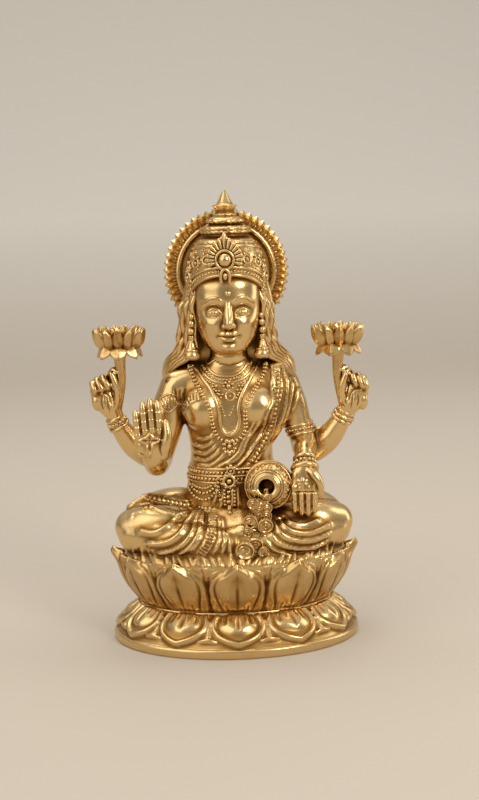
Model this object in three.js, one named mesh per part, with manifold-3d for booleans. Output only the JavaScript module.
// A small cast brass figure of a seated four-armed goddess on a double lotus plinth.
// Figure and plinth are one casting, so the model is one solid. Millimetres, +Z up, she faces -Y.
// Her right side is at -X. The origin is the middle of the plinth's flat underside.
import * as THREE from 'three';
import { mergeVertices } from 'three/addons/utils/BufferGeometryUtils.js';
import Module from 'manifold-3d';

const wasm = await Module();
wasm.setup();

// Driving dimensions of the plinth
const plateWidth = 69.5; // foot plate, side to side
const plateDepth = 51; // foot plate, front to back
const plateHeight = 2.4;
const lowerLotusHeight = 7.9; // petals that hang down onto the foot plate
const upperLotusHeight = 14.6; // petals that stand up round the seat
const waistInset = 8.6; // how far the waist between the lotuses stands in from the plate's edge
const rimInset = 1; // how far the upper petals' wall stands in from the plate's edge
const petalTipRise = 1.3; // petal tips above the seat
const rimThickness = 1.3; // wall of the rim between the petals and the seat
const seatDish = 0.7; // seat below the rim behind the petals
const plateLedge = 0.9; // foot plate beyond the tips of the hanging petals
const petalCount = 12;

// Driving dimensions of the figure
const figureHeight = 100; // seat to the tip of the finial
const haloRadius = 17.4; // out to the points of the rays
const haloThickness = 1.9;
const haloRimRise = 0.7; // raised ring inside the rays
const haloRayLength = 3.6;
const haloRayCount = 36;
const blossomRadius = 6.9; // lotus held in each raised hand
const blossomHeight = 9.2;
const blossomPetalCount = 7;
const stemRadius = 0.85;
const potRadius = 6.5;
const potMouthRadius = 2.35;
const potLipWidth = 2; // rim of the pot's mouth, from the hole to its outer edge
const potMouthDepth = 5.5;
const coinRadius = 1.9;
const coinThickness = 0.9;
const necklaceRadius = 0.7; // relief of the necklaces
const foldRadius = 0.8; // relief of the cloth's folds and border

// Levels and half sizes that follow from them
const waistLevel = plateHeight + lowerLotusHeight;
const seatLevel = waistLevel + upperLotusHeight;
const halfWidth = plateWidth / 2;
const halfDepth = plateDepth / 2;
const unit = figureHeight / 100; // the figure's pose and proportions are hundredths of its height

const vec = (x, y, z) => new THREE.Vector3(x, y, z);

// A point of the figure, in hundredths of its height, from the middle of the seat.
const at = (x, y, z) => vec(x * unit, y * unit, seatLevel + z * unit);

// Shape builders

// A closed surface through rings of equally many points, with a fan over each end ring.
function skin(rings) {
  const count = rings[0].length;
  const middle = ring => ring.reduce((sum, p) => sum.add(p), vec(0, 0, 0)).divideScalar(count);
  const points = [...rings.flat(), middle(rings[0]), middle(rings.at(-1))];
  const firstEnd = points.length - 2;
  const lastEnd = points.length - 1;
  const lastRing = (rings.length - 1) * count;
  const faces = [];
  for (let i = 0; i < count; i++) {
    const next = (i + 1) % count;
    for (let row = 0; row < lastRing; row += count) {
      faces.push(row + i, row + next, row + count + next);
      faces.push(row + i, row + count + next, row + count + i);
    }
    faces.push(firstEnd, next, i);
    faces.push(lastEnd, lastRing + i, lastRing + next);
  }
  return new THREE.BufferGeometry().setFromPoints(points).setIndex(faces);
}

// Turns a closed geometry into a solid that can be joined and cut.
function solid(geometry) {
  const bare = geometry.clone();
  bare.deleteAttribute('normal');
  bare.deleteAttribute('uv');
  const merged = mergeVertices(bare, 1e-4);
  const place = new THREE.Vector3();
  const corners = merged.index.array;
  const faces = [];
  let volume = 0;
  for (let i = 0; i < corners.length; i += 3) {
    const [a, b, c] = corners.slice(i, i + 3);
    if (a === b || b === c || c === a) continue;
    faces.push(a, b, c);
    const [p, q, r] = [a, b, c].map(n => place.fromBufferAttribute(merged.attributes.position, n).clone());
    volume += p.dot(q.cross(r));
  }
  if (volume < 0) faces.reverse();
  return new wasm.Manifold(new wasm.Mesh({
    numProp: 3,
    vertProperties: merged.attributes.position.array,
    triVerts: new Uint32Array(faces),
  }));
}

// A horizontal ellipse of points about a centre.
function ellipse(centre, rx, ry, sides) {
  return Array.from({ length: sides }, (_, i) => {
    const turn = (i / sides) * 2 * Math.PI - Math.PI / 2;
    return centre.clone().add(vec(rx * Math.cos(turn), ry * Math.sin(turn), 0));
  });
}

// A form built up of level ellipses. Rows are [z, half width, front y, back y, x of the middle].
function stack(rows, sides) {
  return solid(skin(rows.map(([z, half, front, back, x = 0]) =>
    ellipse(at(x, (front + back) / 2, z), half * unit, (back - front) / 2 * unit, sides))));
}

// An ellipsoid with its half sizes along its own axes, turned by angles in degrees.
function ball(centre, [rx, ry, rz], sides = 10, [tx, ty, tz] = [0, 0, 0]) {
  const turn = new THREE.Euler(...[tx, ty, tz].map(THREE.MathUtils.degToRad));
  const geometry = new THREE.SphereGeometry(unit, sides, Math.max(4, Math.round(sides * 0.6)))
    .rotateX(Math.PI / 2)
    .scale(rx, ry, rz)
    .applyMatrix4(new THREE.Matrix4().makeRotationFromEuler(turn))
    .translate(centre.x, centre.y, centre.z);
  return solid(geometry);
}

// A limb through points, with a radius at each, rounded at its far end. flats squeeze it from
// front to back.
function limb(points, radii, sides = 8, flats = 1) {
  const last = points.length - 1;
  const roundEnd = 0.55; // the end ring's share of the limb's radius, and its reach beyond the end
  const rings = [];
  let before = points[1].clone().sub(points[0]).normalize();
  const across = vec(0, 1, 0).cross(before).normalize();
  points.forEach((point, i) => {
    const along = points[Math.min(last, i + 1)].clone().sub(points[Math.max(0, i - 1)]).normalize();
    across.applyQuaternion(new THREE.Quaternion().setFromUnitVectors(before, along));
    before = along;
    const radius = radii[i] * unit;
    const thin = (flats[i] ?? flats) * radius;
    const away = along.clone().cross(across);
    const ringAt = (centre, share) => Array.from({ length: sides }, (_, corner) => {
      const turn = ((corner + 0.5) / sides) * 2 * Math.PI;
      return centre.clone()
        .addScaledVector(across, share * radius * Math.cos(turn))
        .addScaledVector(away, share * thin * Math.sin(turn));
    });
    rings.push(ringAt(point, 1));
    if (i === last) rings.push(ringAt(point.clone().addScaledVector(along, thin * roundEnd), roundEnd));
  });
  return solid(skin(rings));
}

// A raised line along a smooth curve through points: a three-sided bar with an edge outwards.
function ridge(points, radius, steps, outwards = vec(0, -1, 0)) {
  const curve = new THREE.CatmullRomCurve3(points);
  const rootDepth = 1.6; // how deep the bar is sunk, in radii
  return solid(skin(Array.from({ length: steps + 1 }, (_, i) => {
    const point = curve.getPoint(i / steps);
    const across = curve.getTangent(i / steps).cross(outwards).setLength(radius);
    const root = point.clone().addScaledVector(outwards, -rootDepth * radius);
    return [point.addScaledVector(outwards, radius), root.clone().add(across), root.sub(across)];
  })));
}

// A form turned about its own upright axis at a centre, from [radius, height] pairs in hundredths.
function turned(centre, pairs, sides) {
  const profile = pairs.map(([r, h]) => new THREE.Vector2(r * unit, h * unit));
  const geometry = new THREE.LatheGeometry(profile, sides).rotateX(Math.PI / 2);
  return solid(geometry.translate(centre.x, centre.y, centre.z));
}

// A ring of points for a wall of petals about an ellipse, each petal highest along its middle.
// half is the petal's half width as a share of its pitch; edge and swell are how far its border
// and its middle stand out; lift raises its middle, and between is how far the gap stands out.
function petalRing(count, place, { half = 0.25, edge = 0, swell = 0, lift = 0, between = 0 } = {}) {
  const { x = 0, y = 0, z, rx, ry } = place;
  const columns = [[-0.5, between, 0], [-half, edge, 0], [0, edge + swell, lift], [half, edge, 0]];
  return Array.from({ length: count }, (_, petal) => columns.map(([share, out, up]) => {
    const turn = ((petal + share) / count) * 2 * Math.PI - Math.PI / 2;
    return vec(x + (rx + out) * Math.cos(turn), y + (ry + out) * Math.sin(turn), z + up);
  })).flat();
}

// Plinth: foot plate, lotus of hanging petals, lotus of standing petals and the dished seat

function plinth() {
  const ringAt = (z, inset, petals) =>
    petalRing(petalCount, { z, rx: halfWidth - inset, ry: halfDepth - inset }, petals);
  // Rows are [share of the way up, share of the way out, half width, edge, swell, gap between]
  const hanging = [
    [0.03, 1, 0.04, 0.5, 0.2, 0.1], [0.24, 0.88, 0.28, 0.7, 0.8, 0.1],
    [0.56, 0.62, 0.43, 0.7, 1, 0], [1, 0, 0.4, 0.2, 0.3, 0],
  ].map(([up, out, half, edge, swell, between]) => {
    const inset = waistInset - out * (waistInset - plateLedge);
    return ringAt(plateHeight + up * lowerLotusHeight, inset, { half, edge, swell, between });
  });
  // Rows are [share of the way up, share of the way out, half width, edge, swell, lift, gap between]
  const standing = [
    [0.24, 0.4, 0.42, 0.5, 1.1, 0, 0], [0.52, 0.76, 0.455, 0.7, 1.3, 0, 0.1],
    [0.8, 0.95, 0.33, 0.7, 0.8, 0, 0.5], [1, 1, 0.06, 0.7, 0.3, petalTipRise, 0.2],
  ].map(([up, out, half, edge, swell, lift, between]) => {
    const inset = waistInset - out * (waistInset - rimInset);
    return ringAt(waistLevel + up * upperLotusHeight, inset, { half, edge, swell, lift, between });
  });
  const seatInset = rimInset + rimThickness;
  const seatSlope = 1; // how far the dish's floor stands in from its top edge
  return solid(skin([
    ringAt(0, 0), ringAt(plateHeight, 0), ...hanging, ...standing,
    ringAt(seatLevel, seatInset), ringAt(seatLevel - seatDish, seatInset + seatSlope),
  ]));
}

// Figure: legs and lap

const side = { right: -1, left: 1 }; // her own right is at -X

function legs() {
  const crossed = [side.right, side.left].flatMap(s => [
    limb([at(6 * s, 6, 7), at(16 * s, 2.6, 8.8), at(23.4 * s, -1.7, 8.4), at(27.4 * s, -4.6, 7.3)],
      [7, 8, 7.2, 5.6], 9),
    limb([at(-2 * s, -17.5, 4.6), at(8 * s, -16.4, 5), at(18 * s, -12.4, 5.4), at(27 * s, -6, 6)],
      [3.6, 4.6, 5.2, 5.4], 8),
  ]);
  const bottom = -seatDish / unit - 0.5; // the lap reaches a little below the dish's floor
  const lap = stack([
    [bottom, 25, -20, 14], [1.4, 26, -21.4, 16], [5.4, 21, -19, 15.4], [9.5, 14, -14.5, 14.5],
    [12, 11, -10, 14],
  ], 14);
  return [...crossed, lap];
}

// Raised folds of the cloth that sweep over the shins and knees
function legFolds() {
  const front = vec(0, -0.8, 0.6);
  const sweep = s => [
    [at(30.5 * s, -8.5, 9.4), at(24 * s, -13.2, 8), at(14 * s, -16.5, 8.6), at(6 * s, -17.5, 10)],
    [at(29 * s, -11, 5.2), at(22 * s, -15.4, 3.8), at(13 * s, -18.6, 5.4), at(5 * s, -19, 8)],
    [at(25 * s, -6.2, 13.4), at(17 * s, -7, 13.4), at(10 * s, -9.6, 12.4), at(4 * s, -11.8, 11.6)],
    [at(21 * s, -1.5, 16.1), at(15 * s, -3.2, 15.9), at(9.5 * s, -6.4, 14.6), at(4 * s, -8.8, 14)],
  ];
  return [side.right, side.left].flatMap(s => sweep(s).map(points => ridge(points, foldRadius, 5, front)));
}

// Pleats that fan out from the middle of the lap over the edge of the seat
function lapPleats() {
  const pleats = 5;
  const spread = THREE.MathUtils.degToRad(74);
  return Array.from({ length: pleats }, (_, i) => {
    const turn = (i / (pleats - 1) - 0.5) * spread;
    const run = (reach, z) =>
      at(-1.5 + reach * Math.sin(turn) * 1.15, -12.2 - reach * Math.cos(turn) * 0.62, z);
    return ridge([run(4, 8.4), run(8, 6), run(11.5, 3.4), run(14, 0.6)], foldRadius, 3);
  });
}

// Figure: trunk and neck

// Rows are [z, half width, front y, back y], with the belt as the wide rows at 17.8 and 21.8
const trunkRows = [
  [8, 15, -8.4, 14.8], [12, 14.6, -8.8, 14.2], [17.5, 12.8, -8.6, 12.4], [17.8, 13.5, -9.6, 13],
  [21.8, 12.8, -9.2, 12], [22.1, 11.9, -8.2, 10.9], [28, 11.7, -7.5, 9.6], [35, 12.4, -7.2, 9.4],
  [41, 13.6, -6.8, 9.6], [46, 14.4, -5.8, 9.6], [49, 12.4, -4.6, 9], [51.5, 7.8, -4, 7.4],
  [54, 5.4, -4.2, 6.4], [59, 5.2, -4.2, 6],
];
const bustX = 7.6;
const bustY = -6.2;
const bustZ = 38.6;
const bustSize = [4.9, 4.7, 5];

// Front of the trunk at a place of the front view, bust included
function chest(x, z) {
  const row = Math.max(1, trunkRows.findIndex(([level]) => level >= z));
  const [low, high] = [trunkRows[row - 1], trunkRows[row]];
  const share = (z - low[0]) / (high[0] - low[0]);
  const [, half, front, back] = low.map((value, i) => value + (high[i] - value) * share);
  const round = Math.sqrt(Math.max(0.05, 1 - (x / half) ** 2));
  const flat = (front + back) / 2 - (back - front) / 2 * round;
  const inBust = 1 - ((Math.abs(x) - bustX) / bustSize[0]) ** 2 - ((z - bustZ) / bustSize[2]) ** 2;
  return inBust > 0 ? Math.min(flat, bustY - bustSize[1] * Math.sqrt(inBust)) : flat;
}

// A raised line that follows the chest through places of the front view
const onChest = (places, radius, steps) =>
  ridge(places.map(([x, z]) => at(x, chest(x, z), z)), radius, steps);

function trunk() {
  const bust = [side.right, side.left].map(s => ball(at(bustX * s, bustY, bustZ), bustSize, 8));
  return [stack(trunkRows, 12), ...bust];
}

// Long necklace, collar and the border of the sari, with pendants, belt rosette and tassel
function drapeAndJewels() {
  const longNecklace = [[-9.6, 49], [-8.2, 45.5], [-6.4, 41.6], [-5.3, 36.5], [-3.6, 33], [0, 31.8],
    [3.3, 33], [4.5, 37], [5.8, 42], [8.2, 46], [9.2, 49]];
  const collar = [[-6.4, 50.4], [-4.2, 48.8], [0, 47.6], [4.2, 48.8], [6.4, 50.4]];
  const sariBorder = [[12.2, 48.4], [12.6, 44], [12, 39], [10.6, 32], [6.6, 26], [0, 22.8]];
  const sariFold = [[9.8, 48.4], [8.4, 44], [4.6, 38.6], [3.6, 32.5], [0, 27], [-7, 23]];
  return [
    onChest(longNecklace, necklaceRadius, 10),
    onChest(collar, necklaceRadius, 4),
    onChest(sariBorder, foldRadius, 6),
    onChest(sariFold, foldRadius, 6),
    ball(at(-0.5, chest(-0.5, 44.2) - 0.3, 44.2), [1.7, 1.3, 1.8], 5),
    ball(at(-0.6, chest(-0.6, 30.2) - 0.3, 30.2), [2.2, 1.3, 2.2], 5),
    ball(at(-1.2, -9.7, 20.4), [1.9, 1.7, 2.2], 6),
    ball(at(-1.6, -10, 16), [1.2, 1.8, 3], 5),
  ];
}

// Figure: arms and hands, each arm one limb from the shoulder to the roots of the fingers

// An arm from rows of [x, y, z, radius, flatness], mirrored by s.
const arm = (rows, s = 1) =>
  limb(rows.map(([x, y, z]) => at(x * s, y, z)), rows.map(row => row[3]), 8, rows.map(row => row[4] ?? 1));

// Fingers: each runs through points given as offsets from the hand.
const fingers = ([x, y, z], rows, radius) => rows.map(row => {
  const points = row.map(([dx, dy, dz]) => at(x + dx, y + dy, z + dz));
  return limb(points, points.map((_, i) => radius * (1 - 0.1 * i)), 4);
});

// Front right arm, its open palm raised forwards
function blessingArm() {
  const rows = [
    [-16, 2.4, 45.4, 4.8], [-17.8, 1.8, 37.4, 4.8], [-17.9, 1.7, 37, 5.4], [-18.4, 1.5, 34.4, 5.3],
    [-18.6, 1.4, 34, 4.6], [-20.6, 0, 25.6, 4.1], [-21.5, -6, 25.8, 3.3], [-21.7, -8.2, 26.6, 3.4],
    [-21.8, -9.8, 27.4, 3.3], [-21.9, -11, 28.8, 2.9, 0.8], [-21.9, -12.3, 31.6, 4.3, 0.44],
    [-21.8, -12.5, 36.2, 4.6, 0.38],
  ];
  const hand = [-21.9, -12.4, 33];
  const lengths = [[-3.4, 2.2, 9], [-1.2, 3, 10.8], [1, 3, 11.8], [3.1, 2.4, 11.4]];
  return [
    arm(rows),
    ...fingers(hand, lengths.map(([x, root, tip]) => [[x, 0, root], [x * 1.08, -0.2, tip]]), 1.15),
    ...fingers(hand, [[[3, 0, -2.4], [4.9, -0.5, 4.8]]], 1.3),
  ];
}

// Front left arm, its open palm lowered forwards
function givingArm() {
  const rows = [
    [16, 2.4, 45.4, 4.8], [17.9, 1.8, 37.2, 4.8], [18, 1.7, 36.8, 5.4], [18.7, 1.4, 34.2, 5.3],
    [18.8, 1.3, 33.8, 4.5], [20, 0, 28.6, 4.1], [20, -5, 27.6, 3.4], [19.8, -8.6, 26.4, 3.5],
    [19.7, -10.2, 25.4, 3.4], [19.7, -11.2, 24.4, 2.9, 0.8], [19.9, -12.9, 21.8, 4.3, 0.44],
    [19.9, -13.3, 18, 4.4, 0.38],
  ];
  const hand = [19.9, -13.2, 21.4];
  const places = [-3.3, -1.1, 1.1, 3.2];
  const outerShorter = i => (i % 3 ? -0.5 : 0.3);
  return [
    arm(rows),
    ...fingers(hand, places.map((x, i) => [[x, 0, -3.2], [x * 0.96, -1.2, -9.4 + outerShorter(i)]]), 1.15),
    ...fingers(hand, [[[2.6, -0.2, 3], [4.8, -1.6, -2.4]]], 1.3),
    limb([at(20, -11.6, 15), at(20.4, -8, 8)], [3, 4], 6),
  ];
}

// Each rear arm is raised: three fingers are folded, the first points up beside the stem.
const stemX = 30;
const stemTop = 53.8; // underside of the blossom
const raisedHandLift = { [side.right]: 1, [side.left]: -0.6 }; // the two aren't quite level
function raisedArm(s) {
  const lift = raisedHandLift[s];
  const rows = [
    [15, 5, 43, 4], [20, 5, 34, 3.9], [24.2, 3.8, 26.2, 3.6], [28.4, 2.6, 31.2 + lift, 3.1],
    [30.8, 1.5, 35 + lift, 3.1], [31.7, 1, 36.4 + lift, 3.1], [32.3, 0.6, 37.8 + lift, 2.5, 0.8],
    [33.6, -0.4, 41 + lift, 3.4, 0.55], [34.5, -0.6, 44.8 + lift, 2.9, 0.5],
  ];
  const hand = [34 * s, -0.6, 42.6 + lift];
  const folded = [-0.4, 1.2, 2.8].map((x, i) =>
    [[x * s, 0, 1.6], [x * s, -1.4, 4.1 - i * 0.4], [x * s, -2.5, 1.4 - i * 0.3]]);
  const raised = [[-0.7 * s, 0.2, 2.4], [-1.5 * s, -0.2, 6.6], [-2.4 * s, -0.2, 8.6]];
  const thumb = [[-2 * s, -1, -2.6], [-2.4 * s, -1.8, 4]];
  return [
    arm(rows, s),
    ...fingers(hand, [...folded, raised, thumb], 1.1),
    limb([at((stemX + 0.6) * s, 0.4, 36.4 + lift), at(stemX * s, -0.8, 46), at(stemX * s, -1, stemTop + 2)],
      [stemRadius / unit, stemRadius / unit, stemRadius * 1.6 / unit], 5),
  ];
}

// An open lotus blossom: a cup of upright petals over a row of turned-down ones
function blossom(s) {
  const foot = at(stemX * s, -1, stemTop + raisedHandLift[s] * 0.4);
  // Rows are [share of the height, share of the radius, half width, swell, lift]
  const rows = [
    [0.02, 0.56, 0.2, 2.6, 0], [0.26, 0.5, 0.42, 1.2, 0], [0.36, 0.46, 0.42, 0.1, 0],
    [0.62, 0.7, 0.4, 0.7, 0], [0.9, 0.88, 0.14, 0.6, 0.9], [0.72, 0.62, 0.25, 0, 0],
  ];
  return solid(skin(rows.map(([up, out, half, swell, lift]) => {
    const radius = out * blossomRadius;
    const place = { x: foot.x, y: foot.y, z: foot.z + up * blossomHeight, rx: radius, ry: radius };
    return petalRing(blossomPetalCount, place, { half, swell, lift });
  })));
}

// Figure: head, hair, crown and halo

function head() {
  return [
    stack([
      [55.2, 2.6, -7.6, -1.5], [56.8, 5, -9, 3.6], [60, 6.9, -9, 6.8], [64, 8, -9.2, 8.8],
      [69, 8.7, -9.3, 9.6], [75, 8.7, -8.4, 9.4], [79, 7.6, -6.6, 8],
    ], 12),
    limb([at(0, -9, 69), at(0, -10.6, 64.6)], [0.8, 1.1], 5),
    ball(at(0, -9.1, 60.9), [2, 0.9, 0.9], 6),
    ...[side.right, side.left].map(s => ball(at(3.3 * s, -8.4, 67.2), [1.9, 0.8, 0.9], 6)),
  ];
}

function hair() {
  const back = stack([
    [30, 4.6, 7, 11.6], [35, 9.4, 5, 12.8], [44, 12.6, 3.6, 13.2], [54, 11.4, 2, 13],
    [66, 9.8, 2, 11.6], [74, 8.6, 1, 10],
  ], 10);
  const bellAndBead = [[0, 0], [2, 0.5], [1.1, 2.8], [0.6, 5.6], [1.3, 6.9], [0.7, 8], [0, 8.2]];
  const sides = [side.right, side.left].flatMap(s => [
    limb([at(9.6 * s, -0.2, 73), at(11 * s, 1.2, 60.6), at(12.4 * s, 1.4, 54.6), at(15.2 * s, 1.6, 50.8),
      at(17 * s, 3, 47)], [2, 2.3, 2.4, 2.2, 1.6], 6),
    turned(at(9.9 * s, -0.8, 54.6), bellAndBead, 6),
  ]);
  return [back, ...sides];
}

function crown() {
  const profile = [[0, 71], [9.8, 71], [11.2, 75.2], [10.9, 76], [11, 80], [9.2, 85.6], [6.2, 87],
    [7.3, 88.4], [7, 89.6], [4.5, 90.6], [4.4, 92.4], [2.4, 94], [3.4, 95.4], [2.3, 96.2], [0, 100]];
  const plaque = [[-5, 78.4], [-5.4, 81.6], [-3.4, 85.4], [0, 89.2], [3.4, 85.4], [5.4, 81.6], [5, 78.4]];
  const shape = new THREE.Shape(plaque.map(([x, z]) => new THREE.Vector2(x * unit, z * unit)));
  const plaqueBack = at(0, -7.6, 0);
  const slab = new THREE.ExtrudeGeometry(shape, { depth: 4 * unit, bevelEnabled: false })
    .rotateX(Math.PI / 2)
    .translate(plaqueBack.x, plaqueBack.y, plaqueBack.z);
  return [
    turned(at(0, 0.4, 0), profile, 10),
    solid(slab),
    ball(at(0, -11.4, 81.4), [2.2, 1.5, 2.6], 6),
  ];
}

// Disc with pointed rays behind the head, open below towards the hair
function halo() {
  const centre = at(0, 4.6, 77.3);
  const lowest = THREE.MathUtils.degToRad(-36);
  const sweep = Math.PI - 2 * lowest;
  const disc = (points, thickness) => {
    const outline = points.map(([share, radius]) => {
      const turn = lowest + share * sweep;
      return new THREE.Vector2(radius * Math.cos(turn), radius * Math.sin(turn));
    });
    const extrusion = { depth: thickness, bevelEnabled: false };
    const plate = new THREE.ExtrudeGeometry(new THREE.Shape(outline), extrusion).rotateX(Math.PI / 2);
    return solid(plate.translate(centre.x, centre.y + haloThickness / 2, centre.z));
  };
  const inner = haloRadius - haloRayLength;
  const points = haloRayCount * 2;
  const rays = Array.from({ length: points }, (_, i) => [(i + 0.5) / points, i % 2 ? haloRadius : inner]);
  const rimSteps = 12;
  const rim = Array.from({ length: rimSteps + 1 }, (_, i) => [i / rimSteps, inner - 0.4]);
  return [disc(rays, haloThickness), disc(rim, haloThickness + haloRimRise)];
}

// Pot of coins at her left hip, its mouth towards the front

function pot() {
  const centre = at(9.8, -10.2, 19.4);
  const lip = potMouthRadius + potLipWidth;
  const mouth = potRadius * 1.08; // from the pot's middle to the face of its lip
  const lipEdge = 0.6;
  const profile = [
    [0, -potRadius * 0.86], [potRadius * 0.7, -potRadius * 0.7], [potRadius, 0.1],
    [potRadius * 0.84, potRadius * 0.52], [lip * 0.86, potRadius * 0.76], [lip, mouth - lipEdge],
    [lip - lipEdge, mouth], [potMouthRadius, mouth - lipEdge / 3],
    [potMouthRadius, mouth - potMouthDepth], [0, mouth - potMouthDepth],
  ].map(([x, y]) => new THREE.Vector2(x, y));
  const geometry = new THREE.LatheGeometry(profile, 11)
    .rotateX(Math.PI)
    .rotateX(THREE.MathUtils.degToRad(-6))
    .rotateZ(THREE.MathUtils.degToRad(-9));
  return solid(geometry.translate(centre.x, centre.y, centre.z));
}

// Coins that spill from the pot's mouth down over the lap
function coins() {
  const stream = limb([at(8.8, -15.4, 17.4), at(8.6, -15.8, 14), at(7, -17.4, 9.4), at(4.6, -19.6, 5.6)],
    [2, 2.2, 2.6, 2.6], 6, 0.6);
  // Places are [x, y, z, lean in degrees], the last coin being a larger one
  const places = [[7.2, -17.2, 16.6, 20], [9.6, -17.6, 13.4, -14], [5.4, -17.2, 12, -10],
    [8.4, -19, 9.4, 12], [2.8, -21.4, 4.8, 6]];
  const discs = places.map(([x, y, z, lean], i) => {
    const radius = i === places.length - 1 ? coinRadius * 1.3 : coinRadius;
    const place = at(x, y, z);
    return solid(new THREE.CylinderGeometry(radius, radius, coinThickness, 8)
      .rotateX(THREE.MathUtils.degToRad(-22))
      .rotateZ(THREE.MathUtils.degToRad(lean))
      .translate(place.x, place.y, place.z));
  });
  return [stream, ...discs];
}

// One casting

const casting = wasm.Manifold.union([
  plinth(),
  ...legs(), ...legFolds(), ...lapPleats(),
  ...trunk(), ...drapeAndJewels(),
  ...blessingArm(), ...givingArm(),
  ...raisedArm(side.right), ...raisedArm(side.left),
  blossom(side.right), blossom(side.left),
  ...head(), ...hair(), ...crown(), ...halo(),
  pot(), ...coins(),
]);

function geometryOf(manifold) {
  const mesh = manifold.getMesh();
  const geometry = new THREE.BufferGeometry();
  geometry.setAttribute('position', new THREE.BufferAttribute(mesh.vertProperties, 3));
  geometry.setIndex(new THREE.BufferAttribute(mesh.triVerts, 1));
  geometry.computeVertexNormals();
  return geometry;
}

const polishedBrass = new THREE.MeshStandardMaterial({ color: 0xc79f4e, roughness: 0.26, metalness: 1 });
const figure = new THREE.Mesh(geometryOf(casting), polishedBrass);
figure.name = 'lakshmi_figure';

const model = new THREE.Group();
model.add(figure);
export default model;
